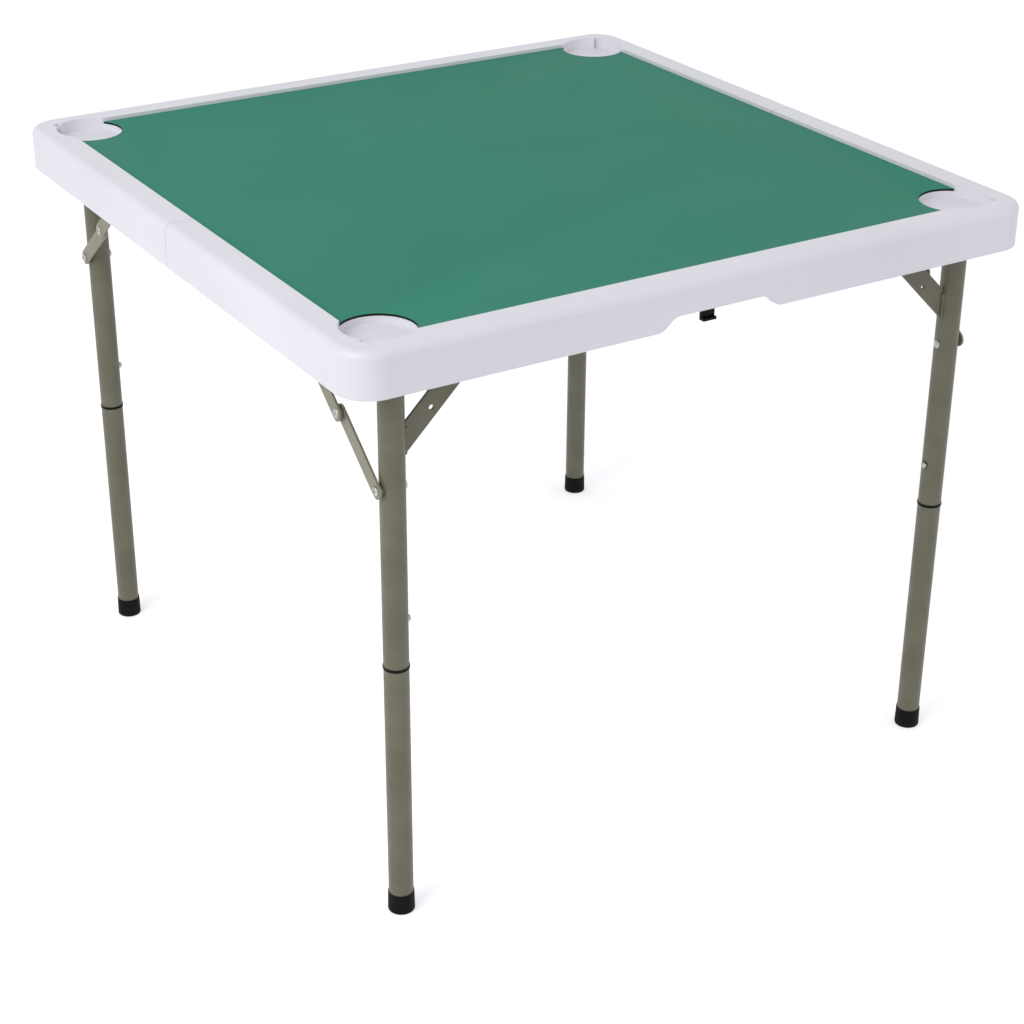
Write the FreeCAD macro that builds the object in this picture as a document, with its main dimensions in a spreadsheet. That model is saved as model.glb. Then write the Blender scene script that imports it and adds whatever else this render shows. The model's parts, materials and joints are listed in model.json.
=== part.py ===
import FreeCAD, Part
import os
import re

doc = FreeCAD.newDocument("folding_table")
sheet = doc.addObject("Spreadsheet::Sheet", "dims")

# Sizes in millimetres. X runs along the handle side, Y across the fold, Z up from the floor.
sizes = {
    # Moulded top
    "top_side": 880.0,
    "top_height": 705.0,
    "skirt_depth": 51.0,
    "skirt_wall": 8.0,
    "corner_radius": 38.0,
    "rim_width": 36.0,
    "rim_round": 9.0,
    "rim_rise": 4.0,
    "deck_thickness": 11.0,
    "spine_gap": 0.4,
    "cut_margin": 5.0,
    "cup_radius": 40.0,
    "cup_inset": 63.0,
    "cup_depth": 7.5,
    "drain_width": 11.0,
    "drain_reach": 6.0,
    "notch_half_top": 59.0,
    "notch_half_bottom": 75.0,
    "notch_depth": 14.5,
    "notch_round": 18.0,
    # Play mat
    "mat_thickness": 3.0,
    "mat_gap": 1.0,
    "mat_notch_radius": 41.0,
    # Leg frames
    "tube_diameter": 28.0,
    "tube_wall": 1.5,
    "leg_inset_x": 67.5,
    "leg_inset_y": 48.0,
    "fold_clearance": 2.0,
    "leg_top_over": 6.0,
    "crossbar_diameter": 25.0,
    "gusset_width": 25.0,
    "gusset_thickness": 3.0,
    "gusset_drop": 106.0,
    "gusset_hole_radius": 3.0,
    "gusset_hole_drop": 60.0,
    "gusset_hole_inset": 46.0,
    "saddle_inset": 215.0,
    "saddle_width": 24.0,
    "saddle_wall": 2.4,
    "saddle_foot": 64.0,
    "saddle_plate": 2.5,
    "running_fit": 0.05,
    # Joint between upper and lower leg
    "collar_height": 319.0,
    "collar_thickness": 3.0,
    "collar_diameter": 29.6,
    "sleeve_upper_length": 90.0,
    "sleeve_lower_length": 45.0,
    "sleeve_wall": 1.5,
    "slide_fit": 0.08,
    "crimp_drop": 11.0,
    "crimp_ball": 6.0,
    "crimp_depth": 0.8,
    "button_rise": 54.0,
    "button_radius": 4.0,
    "button_out": 4.0,
    "button_gap": 0.5,
    # Rubber feet
    "foot_height": 25.0,
    "foot_floor": 5.0,
    "foot_top_diameter": 29.8,
    "foot_bottom_diameter": 30.8,
    "foot_round": 2.0,
    # Folding braces
    "brace_drop": 139.0,
    "brace_reach": 170.0,
    "brace_standoff": 2.8,
    "link_width": 18.0,
    "link_thickness": 2.5,
    "link_gap": 0.3,
    "bolt_radius": 3.0,
    "bolt_head_radius": 5.5,
    "bolt_head": 2.2,
    "bolt_shoulder_radius": 5.5,
    "washer_radius": 4.8,
    "washer_height": 1.2,
    "bolt_tail": 0.8,
    "knee_head": 1.6,
    "seat_fit": 0.02,
    # Rails and fold hinges
    "rail_standoff": 5.0,
    "rail_thickness": 3.0,
    "rail_flange": 25.0,
    "rail_lift": 6.0,
    "rail_over": 20.0,
    "rail_short": 4.0,
    "leaf_thickness": 4.0,
    "leaf_gap": 0.3,
    "leaf_start": 12.0,
    "leaf_end": 50.0,
    "leaf_height": 22.0,
    "knuckle_radius": 7.0,
    "hinge_pin_radius": 3.0,
    "hinge_head": 1.8,
    "hinge_head_radius": 5.0,
    # Screws into the deck
    "screw_radius": 2.1,
    "screw_head_radius": 4.5,
    "screw_head": 2.4,
    "screw_length": 8.0,
    # Carry handle
    "handle_pivot_inset": 74.0,
    "handle_reach": 112.0,
    "handle_arm_width": 12.0,
    "handle_arm_thickness": 6.0,
    "handle_half_width": 64.0,
    "grip_radius": 8.0,
    "grip_round": 3.0,
    "trunnion_length": 8.0,
    "lug_gap": 1.0,
    "lug_thickness": 6.0,
    "lug_depth": 7.6,
    "lug_base": 22.0,
    "lug_plate": 3.0,
    # Latch
    "latch_inset": 25.0,
    "latch_half_width": 8.5,
    "latch_thickness": 4.0,
    "latch_drop": 29.0,
    "latch_pivot_rise": 21.0,
    "latch_lip": 4.0,
    "latch_lip_height": 3.0,
    "latch_pin_radius": 1.5,
    "latch_barrel_radius": 3.5,
    "latch_ear": 3.0,
    "latch_base_depth": 18.0,
    "latch_plate": 2.5,
    "keeper_gap": 1.0,
    "keeper_half_width": 16.0,
    "keeper_window_half": 12.0,
    "keeper_lift": 1.0,
    "keeper_bar": 3.3,
    "keeper_window": 8.0,
    "keeper_foot": 16.0,
}

# Sizes that follow from the ones above.
derived = {
    "top_half": "top_side / 2",
    "skirt_bottom": "top_height - skirt_depth",
    "mat_top": "top_height - rim_rise",
    "mat_floor": "mat_top - mat_thickness",
    "deck_under": "mat_floor - deck_thickness",
    "mat_half": "top_half - rim_width",
    "cup_place": "top_half - cup_inset",
    "tube_radius": "tube_diameter / 2",
    "bore_radius": "tube_radius - tube_wall",
    "leg_x": "top_half - leg_inset_x",
    "leg_y": "top_half - leg_inset_y",
    "pivot_height": "skirt_bottom + tube_radius + fold_clearance",
    "crossbar_radius": "crossbar_diameter / 2",
    "saddle_x": "top_half - saddle_inset",
    "upper_end": "collar_height + collar_thickness / 2",
    "lower_end": "collar_height - collar_thickness / 2",
    "sleeve_radius": "bore_radius - slide_fit",
    "button_height": "collar_height + button_rise",
    "bolt_height": "pivot_height - brace_drop",
    "brace_span": "sqrt(brace_reach ^ 2 + brace_drop ^ 2)",
    "brace_angle": "atan(brace_drop / brace_reach)",
    "lower_link_length": "(brace_span + brace_drop - brace_reach) / 2",
    "upper_link_length": "(brace_span - brace_drop + brace_reach) / 2",
    "knee_y": "lower_link_length * brace_reach / brace_span - leg_y",
    "knee_z": "bolt_height + lower_link_length * brace_drop / brace_span",
    "reach_y": "brace_reach - leg_y",
    "leg_face": "leg_x + tube_radius",
    "lower_link_in": "leg_face + brace_standoff",
    "lower_link_out": "lower_link_in + link_thickness",
    "head_in": "lower_link_out + link_gap",
    "head_out": "head_in + bolt_head",
    "upper_link_in": "head_out + link_gap",
    "upper_link_out": "upper_link_in + link_thickness",
    "knee_inner_end": "(lower_link_out + upper_link_in - link_gap) / 2",
    "knee_outer_end": "(lower_link_out + upper_link_in + link_gap) / 2",
    "rail_in": "upper_link_out + rail_standoff",
    "rail_out": "rail_in + rail_thickness",
    "rail_from": "0 - leg_y - rail_over",
    "rail_length": "leg_y + rail_over - rail_short",
    "front_leaf_out": "rail_out + leaf_thickness",
    "rear_leaf_in": "front_leaf_out + leaf_gap",
    "rear_leaf_out": "rear_leaf_in + leaf_thickness",
    "handle_y": "handle_pivot_inset - top_half",
    "latch_y": "latch_inset - top_half",
    "latch_z": "skirt_bottom + latch_pivot_rise",
    "latch_ear_out": "latch_half_width + link_gap + latch_ear",
    "keeper_y": "latch_y - latch_thickness / 2 - keeper_gap",
}

rail_screw_shares = (0.24, 0.54, 0.84)
drain_turn = 225.0
gusset_turn = -45.0
right_angle = 90.0

aliasWord = re.compile(r"[a-z]+(?:_[a-z]+)+")
xAxis = FreeCAD.Vector(1, 0, 0)
yAxis = FreeCAD.Vector(0, 1, 0)
zAxis = FreeCAD.Vector(0, 0, 1)
origin = FreeCAD.Vector(0, 0, 0)
turns = {
    "x": FreeCAD.Rotation(yAxis, right_angle),
    "y": FreeCAD.Rotation(xAxis, -right_angle),
    "z": FreeCAD.Rotation(),
}

for row, (name, value) in enumerate(list(sizes.items()) + list(derived.items()), start=1):
    sheet.set("A%d" % row, name)
    sheet.set("B%d" % row, "=" + value if isinstance(value, str) else repr(value))
    sheet.setAlias("B%d" % row, name)
doc.recompute()


def size(name):
    return float(getattr(sheet, name))


def linked(text):
    return aliasWord.sub(lambda found: "dims." + found.group(0), text)


def bind(obj, values):
    for prop, text in values.items():
        obj.setExpression(prop, linked(text))
    return obj


def place(obj, at, turn=None):
    if turn is not None:
        obj.Placement = FreeCAD.Placement(origin, turn)
    return bind(obj, {"Placement.Base." + axis: text for axis, text in zip("xyz", at)})


def box(name, spans, at, turn=None):
    obj = doc.addObject("Part::Box", name)
    bind(obj, dict(zip(("Length", "Width", "Height"), spans)))
    return place(obj, at, turn)


def block(name, low, high):
    spans = ["(%s) - (%s)" % (top, bottom) for bottom, top in zip(low, high)]
    return box(name, spans, low)


def rod(name, radius, length, at, along="z"):
    obj = doc.addObject("Part::Cylinder", name)
    bind(obj, {"Radius": radius, "Height": length})
    return place(obj, at, turns[along])


def ball(name, radius, at):
    obj = doc.addObject("Part::Sphere", name)
    bind(obj, {"Radius": radius})
    return place(obj, at)


def fuse(name, pieces):
    obj = doc.addObject("Part::MultiFuse", name)
    obj.Shapes = pieces
    obj.Refine = True
    return obj


def cut(name, base, tools):
    obj = doc.addObject("Part::Cut", name)
    obj.Base = base
    obj.Tool = tools[0] if len(tools) == 1 else fuse(name + "_tools", tools)
    obj.Refine = True
    return obj


def group(name, pieces):
    obj = doc.addObject("Part::Compound", name)
    obj.Links = pieces
    return obj


def mirror(name, source, normal):
    obj = doc.addObject("Part::Mirroring", name)
    obj.Source = source
    obj.Base = origin
    obj.Normal = normal
    return obj


def pair(name, source):
    return group(name, [source, mirror(name + "_other", source, xAxis)])


def fillet(name, base, radius, test):
    doc.recompute()
    picked = [n for n, edge in enumerate(base.Shape.Edges, start=1) if test(edge.BoundBox)]
    obj = doc.addObject("Part::Fillet", name)
    obj.Base = base
    obj.Edges = [(n, size(radius), size(radius)) for n in picked]
    return obj


def near(value, other):
    return abs(value - other) < size("seat_fit")


def level(bounds, height):
    return near(bounds.ZMin, height) and near(bounds.ZMax, height)


nodes = {}


def node(name, obj):
    obj.Label = name
    nodes[name] = obj
    return obj


# Moulded top halves
def screw_points(extra):
    rail_mid = "rail_out + (rail_flange - rail_thickness) / 2"
    points = [(side + "(" + rail_mid + ")", "rail_from + rail_length * %r" % share, "rail_thickness")
              for side in ("0 - ", "") for share in rail_screw_shares]
    saddle_screw = "(saddle_foot / 2 + crossbar_radius + saddle_wall) / 2"
    points += [(side + "saddle_x", "0 - leg_y " + way + saddle_screw, "saddle_plate")
               for side in ("0 - ", "") for way in ("+ ", "- ")]
    return points + extra


def top_half(name, points):
    shell = block(name + "_shell", ("0 - top_half", "0 - top_half", "skirt_bottom"),
                  ("top_half", "0 - spine_gap", "top_height"))
    front = -size("top_half")
    spine = -size("spine_gap")
    high = size("top_height")
    low = size("skirt_bottom")
    shell = fillet(name + "_corners", shell, "corner_radius",
                   lambda b: near(b.YMax, front) and not near(b.ZMin, b.ZMax))
    shell = fillet(name + "_rim", shell, "rim_round",
                   lambda b: level(b, high) and not near(b.YMin, spine))
    cavity = block(name + "_cavity",
                   ("skirt_wall - top_half", "skirt_wall - top_half", "skirt_bottom - cut_margin"),
                   ("top_half - skirt_wall", "cut_margin", "deck_under"))
    inner = front + size("skirt_wall")
    cavity = fillet(name + "_cavity_corners", cavity, "corner_radius",
                    lambda b: near(b.YMax, inner) and not near(b.ZMin, b.ZMax))
    recess = block(name + "_recess", ("0 - mat_half - mat_gap", "0 - mat_half - mat_gap", "mat_floor"),
                   ("mat_half + mat_gap", "cut_margin", "top_height + cut_margin"))
    notch = doc.addObject("Part::Wedge", name + "_notch")
    bind(notch, {"Xmin": "0 - notch_half_bottom", "Xmax": "notch_half_bottom",
                 "X2min": "0 - notch_half_top", "X2max": "notch_half_top",
                 "Ymin": "0 - notch_depth", "Ymax": "0",
                 "Zmin": "0 - cut_margin", "Zmax": "skirt_wall + cut_margin",
                 "Z2min": "0 - cut_margin", "Z2max": "skirt_wall + cut_margin"})
    place(notch, ("0", "skirt_wall - top_half", "skirt_bottom + notch_depth"),
          FreeCAD.Rotation(xAxis, right_angle))
    tools = [cavity, recess, notch]
    cup = rod(name + "_cup", "cup_radius", "top_height - mat_floor + cup_depth + cut_margin",
              ("0 - cup_place", "0 - cup_place", "mat_floor - cup_depth"))
    drain = box(name + "_drain",
                ("cup_radius + drain_reach", "drain_width", "top_height - mat_floor + cup_depth"),
                ("0 - cup_place - drain_width / 2 * cos(45)", "drain_width / 2 * cos(45) - cup_place",
                 "mat_floor - cup_depth"), FreeCAD.Rotation(zAxis, drain_turn))
    tools += [cup, mirror(name + "_cup_other", cup, xAxis)]
    tools += [drain, mirror(name + "_drain_other", drain, xAxis)]
    for number, (x, y, plate) in enumerate(points):
        tools.append(rod("%s_pilot_%d" % (name, number), "screw_radius + seat_fit", "screw_length",
                         (x, y, "deck_under")))
    hollow = cut(name + "_hollow", shell, tools)

    def notch_edge(b):
        corner = near(b.XMin, b.XMax) and near(b.ZMin, b.ZMax) and not near(b.YMin, b.YMax)
        outer = near(abs(b.XMin), size("notch_half_bottom")) and near(b.ZMin, low)
        upper = near(abs(b.XMin), size("notch_half_top")) and near(b.ZMin, low + size("notch_depth"))
        return corner and (outer or upper)
    return fillet(name + "_moulded", hollow, "notch_round", notch_edge)


def screws(name, points):
    made = []
    for number, (x, y, plate) in enumerate(points):
        label = "%s_%d" % (name, number)
        head = rod(label + "_head", "screw_head_radius", "screw_head",
                   (x, y, "deck_under - screw_head - " + plate))
        shank = rod(label + "_shank", "screw_radius", "screw_length + " + plate,
                    (x, y, "deck_under - " + plate))
        made.append(fuse(label, [head, shank]))
    return group(name, made)


lug_x = "handle_half_width + lug_gap + lug_thickness / 2"
lug_screw_y = "handle_y + lug_depth / 2 + lug_base / 2"
front_points = screw_points([("0 - (" + lug_x + ")", lug_screw_y, "lug_plate"),
                             (lug_x, lug_screw_y, "lug_plate")])
rear_points = screw_points([])
node("front_top", top_half("front_top", front_points))
node("front_screws", screws("front_screws", front_points))
node("rear_top", mirror("rear_top", top_half("rear_top_source", rear_points), yAxis))
node("rear_screws", mirror("rear_screws", screws("rear_screws_source", rear_points), yAxis))


# Rails under the deck, on the left side of the front half
def drilled(name, points):
    near_rail = [p for p in points if p[2] == "rail_thickness" and p[0].startswith("0 - ")]
    return [rod("%s_hole_%d" % (name, number), "screw_radius + seat_fit", "rail_thickness + cut_margin",
                (x, y, "deck_under - rail_thickness - cut_margin / 2"))
            for number, (x, y, plate) in enumerate(near_rail)]


web = block("rail_web", ("0 - rail_out", "rail_from", "skirt_bottom + rail_lift"),
            ("0 - rail_in", "0 - rail_short", "deck_under"))
flange = block("rail_flange_plate", ("0 - rail_in - rail_flange", "rail_from", "deck_under - rail_thickness"),
               ("0 - rail_in", "0 - rail_short", "deck_under"))
brace_hole = rod("rail_brace_hole", "bolt_radius + seat_fit", "rail_thickness + cut_margin",
                 ("0 - rail_out - cut_margin / 2", "reach_y", "pivot_height"), "x")
rail = cut("rail_left", fuse("rail_angle", [web, flange]), drilled("rail", front_points) + [brace_hole])
front_rails = node("front_rails", pair("front_rails", rail))
node("rear_rails", mirror("rear_rails", front_rails, yAxis))

# Shoulder bolts for the upper links, fixed in the rails
pivot_shank = rod("brace_pivot_shank", "bolt_radius", "rail_out - head_out + bolt_head",
                  ("0 - rail_out", "reach_y", "pivot_height"), "x")
pivot_shoulder = rod("brace_pivot_shoulder", "bolt_shoulder_radius", "rail_in - upper_link_out - link_gap",
                     ("0 - rail_in", "reach_y", "pivot_height"), "x")
pivot_head = rod("brace_pivot_head", "bolt_head_radius", "bolt_head",
                 ("0 - head_out", "reach_y", "pivot_height"), "x")
brace_pivot = fuse("brace_pivot_left", [pivot_shank, pivot_shoulder, pivot_head])
front_pivots = node("front_brace_pivots", pair("front_brace_pivots", brace_pivot))
node("rear_brace_pivots", mirror("rear_brace_pivots", front_pivots, yAxis))

# Fold hinges: one leaf on each rail, turning on a pin at the lower edge of the spine
def leaf(name, outer, inner, bore):
    strap = block(name + "_strap", ("0 - " + outer, "0 - leaf_end", "skirt_bottom + rail_lift"),
                  ("0 - rail_out", "0 - leaf_start", "skirt_bottom + rail_lift + leaf_height"))
    neck = block(name + "_neck", ("0 - " + outer, "0 - leaf_start", "skirt_bottom"),
                 ("0 - " + inner, "0", "skirt_bottom + knuckle_radius"))
    tie = block(name + "_tie", ("0 - " + outer, "0 - leaf_end", "skirt_bottom"),
                ("0 - " + inner, "0 - leaf_start", "skirt_bottom + rail_lift + leaf_height"))
    knuckle = rod(name + "_knuckle", "knuckle_radius", outer + " - " + inner,
                  ("0 - " + outer, "0", "skirt_bottom"), "x")
    hole = rod(name + "_bore", "hinge_pin_radius + " + bore, "cut_margin + " + outer + " - " + inner,
               ("0 - cut_margin / 2 - " + outer, "0", "skirt_bottom"), "x")
    return cut(name, fuse(name + "_solid", [strap, neck, tie, knuckle]), [hole])


front_leaf = leaf("front_leaf", "front_leaf_out", "rail_out", "seat_fit")
rear_leaf = leaf("rear_leaf", "rear_leaf_out", "rear_leaf_in", "running_fit")
node("front_hinge_leaves", pair("front_hinge_leaves", front_leaf))
rear_leaves = pair("rear_hinge_leaves_source", rear_leaf)
node("rear_hinge_leaves", mirror("rear_hinge_leaves", rear_leaves, yAxis))
pin_shank = rod("hinge_pin_shank", "hinge_pin_radius", "rear_leaf_out + leaf_gap - rail_out",
                ("0 - rear_leaf_out - leaf_gap", "0", "skirt_bottom"), "x")
pin_head = rod("hinge_pin_head", "hinge_head_radius", "hinge_head",
               ("0 - rear_leaf_out - leaf_gap - hinge_head", "0", "skirt_bottom"), "x")
node("hinge_pins", pair("hinge_pins", fuse("hinge_pin_left", [pin_shank, pin_head])))

# Saddles that hold the crossbars under the deck
saddle_round = rod("saddle_round", "crossbar_radius + saddle_wall", "saddle_width",
                   ("0 - saddle_x - saddle_width / 2", "0 - leg_y", "pivot_height"), "x")
saddle_neck = block("saddle_neck",
                    ("0 - saddle_x - saddle_width / 2", "0 - leg_y - crossbar_radius - saddle_wall",
                     "pivot_height"),
                    ("0 - saddle_x + saddle_width / 2", "0 - leg_y + crossbar_radius + saddle_wall",
                     "deck_under"))
saddle_plate = block("saddle_flange", ("0 - saddle_x - saddle_width / 2", "0 - leg_y - saddle_foot / 2",
                                       "deck_under - saddle_plate"),
                     ("0 - saddle_x + saddle_width / 2", "0 - leg_y + saddle_foot / 2", "deck_under"))
saddle_bore = rod("saddle_bore", "crossbar_radius + running_fit", "saddle_width + cut_margin",
                  ("0 - saddle_x - (saddle_width + cut_margin) / 2", "0 - leg_y", "pivot_height"), "x")
saddle_holes = [rod("saddle_hole_%d" % n, "screw_radius + seat_fit", "saddle_plate + cut_margin",
                    (x, y, "deck_under - saddle_plate - cut_margin / 2"))
                for n, (x, y, plate) in enumerate(front_points)
                if plate == "saddle_plate" and x.startswith("0 - ")]
saddle_solid = fuse("saddle_solid", [saddle_round, saddle_neck, saddle_plate])
saddle = cut("saddle_left", saddle_solid, [saddle_bore] + saddle_holes)
front_saddles = node("front_saddles", pair("front_saddles", saddle))
node("rear_saddles", mirror("rear_saddles", front_saddles, yAxis))

# Leg frame: crossbar, upper legs, gussets, collars, brace bolts
leg_column = rod("leg_column", "tube_radius", "pivot_height + crossbar_diameter - upper_end",
                 ("0 - leg_x", "0 - leg_y", "upper_end"))
bar_solid = rod("crossbar_solid", "crossbar_radius", "2 * leg_x",
                ("0 - leg_x", "0 - leg_y", "pivot_height"), "x")
bar_bore = rod("crossbar_bore", "crossbar_radius - tube_wall", "2 * leg_x",
               ("0 - leg_x", "0 - leg_y", "pivot_height"), "x")
other_column = mirror("leg_column_other", leg_column, xAxis)
crossbar = cut("crossbar", bar_solid, [bar_bore, leg_column, other_column])
front_crossbar = node("front_crossbar", crossbar)
node("rear_crossbar", mirror("rear_crossbar", front_crossbar, yAxis))

leg_solid = rod("leg_solid", "tube_radius", "pivot_height + leg_top_over - upper_end",
                ("0 - leg_x", "0 - leg_y", "upper_end"))
leg_bore = rod("leg_bore", "bore_radius", "pivot_height + leg_top_over - upper_end",
               ("0 - leg_x", "0 - leg_y", "upper_end"))
button_hole = rod("button_hole", "button_radius + button_gap", "tube_radius + cut_margin",
                  ("0 - leg_x", "0 - leg_y", "button_height"), "x")
bolt_hole = rod("leg_bolt_hole", "bolt_radius + seat_fit", "2 * tube_radius + cut_margin",
                ("0 - leg_x - tube_radius - cut_margin / 2", "0 - leg_y", "bolt_height"), "x")
upper_leg = node("front_left_upper_leg",
                 cut("upper_leg_left", leg_solid, [leg_bore, button_hole, bolt_hole]))
node("front_right_upper_leg", mirror("front_right_upper_leg", upper_leg, xAxis))
node("rear_left_upper_leg", mirror("rear_left_upper_leg", upper_leg, yAxis))
node("rear_right_upper_leg", mirror("rear_right_upper_leg", nodes["front_right_upper_leg"], yAxis))

strip = box("gusset_strip", ("2 * gusset_drop", "gusset_thickness", "gusset_width"),
            ("tube_radius - leg_x", "0 - leg_y - gusset_thickness / 2", "pivot_height - gusset_drop"),
            FreeCAD.Rotation(yAxis, gusset_turn))
above_bar = block("gusset_above", ("0 - leg_x", "0 - leg_y - cut_margin", "pivot_height"),
                  ("0", "cut_margin - leg_y", "pivot_height + 2 * gusset_drop"))
gusset_leg = rod("gusset_leg", "tube_radius", "pivot_height", ("0 - leg_x", "0 - leg_y", "0"))
gusset_past = block("gusset_past",
                    ("0 - leg_x - gusset_drop", "0 - leg_y - cut_margin", "pivot_height - 2 * gusset_drop"),
                    ("0 - leg_x", "cut_margin - leg_y", "pivot_height"))
gusset_hole = rod("gusset_hole", "gusset_hole_radius", "gusset_thickness + cut_margin",
                  ("gusset_hole_inset - leg_x", "0 - leg_y - (gusset_thickness + cut_margin) / 2",
                   "pivot_height - gusset_hole_drop"), "y")
gusset = cut("gusset_left", strip, [above_bar, bar_solid, gusset_leg, gusset_past, gusset_hole])
front_gussets = node("front_gussets", pair("front_gussets", gusset))
node("rear_gussets", mirror("rear_gussets", front_gussets, yAxis))

collar_solid = rod("collar_solid", "collar_diameter / 2", "collar_thickness",
                   ("0 - leg_x", "0 - leg_y", "lower_end"))
collar_bore = rod("collar_bore", "bore_radius", "collar_thickness",
                  ("0 - leg_x", "0 - leg_y", "lower_end"))
collar = cut("collar_left", collar_solid, [collar_bore])
front_collars = node("front_collars", pair("front_collars", collar))
node("rear_collars", mirror("rear_collars", front_collars, yAxis))

bolt_shank = rod("bolt_shank", "bolt_radius", "head_out - leg_x + tube_radius + washer_height + bolt_tail",
                 ("0 - head_out", "0 - leg_y", "bolt_height"), "x")
bolt_top = rod("bolt_top", "bolt_head_radius", "bolt_head",
               ("0 - head_out", "0 - leg_y", "bolt_height"), "x")
bolt_shoulder = rod("bolt_shoulder", "bolt_shoulder_radius", "lower_link_in - link_gap - leg_x",
                    ("link_gap - lower_link_in", "0 - leg_y", "bolt_height"), "x")
shoulder_leg = rod("bolt_shoulder_leg", "tube_radius", "2 * brace_drop",
                   ("0 - leg_x", "0 - leg_y", "bolt_height - brace_drop"))
shoulder = cut("bolt_shoulder_coped", bolt_shoulder, [shoulder_leg])
brace_bolt = fuse("brace_bolt_left", [bolt_shank, bolt_top, shoulder])
front_bolts = node("front_brace_bolts", pair("front_brace_bolts", brace_bolt))
node("rear_brace_bolts", mirror("rear_brace_bolts", front_bolts, yAxis))
washer_solid = rod("washer_solid", "washer_radius", "washer_height + tube_radius / 2",
                   ("tube_radius / 2 - leg_x", "0 - leg_y", "bolt_height"), "x")
washer_bore = rod("washer_bore", "bolt_radius + seat_fit", "tube_radius + washer_height",
                  ("0 - leg_x", "0 - leg_y", "bolt_height"), "x")
washer = cut("brace_washer_left", washer_solid, [washer_bore, shoulder_leg])
front_washers = node("front_brace_washers", pair("front_brace_washers", washer))
node("rear_brace_washers", mirror("rear_brace_washers", front_washers, yAxis))


# Folding braces: flat links with rounded ends, straight in line when the leg stands
def link(name, length, start, y, z, holes):
    angle = FreeCAD.Rotation(xAxis, size("brace_angle"))
    bar = doc.addObject("Part::Box", name + "_bar")
    bind(bar, {"Length": "link_thickness", "Width": length, "Height": "link_width"})
    place(bar, ("0 - " + start, y + " + link_width / 2 * brace_drop / brace_span",
                z + " - link_width / 2 * brace_reach / brace_span"), angle)
    ends = ((y, z), (y + " + " + length + " * brace_reach / brace_span",
                     z + " + " + length + " * brace_drop / brace_span"))
    rounds = [rod("%s_end_%d" % (name, n), "link_width / 2", "link_thickness",
                  ("0 - " + start,) + end, "x") for n, end in enumerate(ends)]
    bores = [rod("%s_hole_%d" % (name, n), "bolt_radius + " + fit, "link_thickness + cut_margin",
                 ("0 - cut_margin / 2 - " + start,) + end, "x")
             for n, (end, fit) in enumerate(zip(ends, holes))]
    return cut(name, fuse(name + "_solid", [bar] + rounds), bores)


lower_link = link("lower_link", "lower_link_length", "lower_link_out", "0 - leg_y", "bolt_height",
                  ("running_fit", "seat_fit"))
upper_link = link("upper_link", "upper_link_length", "upper_link_out", "knee_y", "knee_z",
                  ("seat_fit", "running_fit"))
front_lower_links = node("front_lower_links", pair("front_lower_links", lower_link))
front_upper_links = node("front_upper_links", pair("front_upper_links", upper_link))
node("rear_lower_links", mirror("rear_lower_links", front_lower_links, yAxis))
node("rear_upper_links", mirror("rear_upper_links", front_upper_links, yAxis))


# Knee rivets: an inner half in the lower link and an outer half in the upper link
def rivet(name, parts):
    made = [rod("%s_%d" % (name, n), radius, "(%s) - (%s)" % (outer, inner),
                ("0 - (" + outer + ")", "knee_y", "knee_z"), "x")
            for n, (radius, outer, inner) in enumerate(parts)]
    return fuse(name, made)


inner_rivet = rivet("knee_rivet_inner", (
    ("bolt_head_radius", "lower_link_in", "lower_link_in - knee_head"),
    ("bolt_radius", "knee_inner_end", "lower_link_in - knee_head"),
    ("bolt_head_radius", "knee_inner_end", "lower_link_out")))
outer_rivet = rivet("knee_rivet_outer", (
    ("bolt_head_radius", "upper_link_in", "knee_outer_end"),
    ("bolt_radius", "upper_link_out + knee_head", "knee_outer_end"),
    ("bolt_head_radius", "upper_link_out + knee_head", "upper_link_out")))
front_inner = node("front_knee_rivets_inner", pair("front_knee_rivets_inner", inner_rivet))
front_outer = node("front_knee_rivets_outer", pair("front_knee_rivets_outer", outer_rivet))
node("rear_knee_rivets_inner", mirror("rear_knee_rivets_inner", front_inner, yAxis))
node("rear_knee_rivets_outer", mirror("rear_knee_rivets_outer", front_outer, yAxis))

# Lower leg: tube with crimped sleeve, rubber foot, and the spring button in the upper leg
lower_solid = rod("lower_solid", "tube_radius", "lower_end - foot_floor",
                  ("0 - leg_x", "0 - leg_y", "foot_floor"))
lower_bore = rod("lower_bore", "bore_radius", "lower_end - foot_floor",
                 ("0 - leg_x", "0 - leg_y", "foot_floor"))
crimp_reach = "tube_radius + crimp_ball - crimp_depth"
crimp_places = (("0 - leg_x - (" + crimp_reach + ")", "0 - leg_y"),
                (crimp_reach + " - leg_x", "0 - leg_y"),
                ("0 - leg_x", "0 - leg_y - (" + crimp_reach + ")"),
                ("0 - leg_x", crimp_reach + " - leg_y"))
crimps = [ball("crimp_%d" % n, "crimp_ball", (x, y, "lower_end - crimp_drop"))
          for n, (x, y) in enumerate(crimp_places)]
lower_tube = cut("lower_tube", lower_solid, [lower_bore] + crimps)

sleeve_solid = rod("sleeve_solid", "sleeve_radius", "sleeve_upper_length + sleeve_lower_length",
                   ("0 - leg_x", "0 - leg_y", "lower_end - sleeve_lower_length"))
sleeve_bore = rod("sleeve_bore", "sleeve_radius - sleeve_wall", "sleeve_upper_length + sleeve_lower_length",
                  ("0 - leg_x", "0 - leg_y", "lower_end - sleeve_lower_length"))
sleeve = cut("sleeve", sleeve_solid, [sleeve_bore, button_hole])

foot_cone = doc.addObject("Part::Cone", "foot_cone")
bind(foot_cone, {"Radius1": "foot_bottom_diameter / 2", "Radius2": "foot_top_diameter / 2",
                 "Height": "foot_height"})
place(foot_cone, ("0 - leg_x", "0 - leg_y", "0"))
foot_shape = fillet("foot_shape", foot_cone, "foot_round",
                    lambda b: level(b, 0) and not near(b.YMin, b.YMax))
foot_bore = rod("foot_bore", "tube_radius", "foot_height", ("0 - leg_x", "0 - leg_y", "foot_floor"))
foot = cut("foot", foot_shape, [foot_bore])

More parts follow.
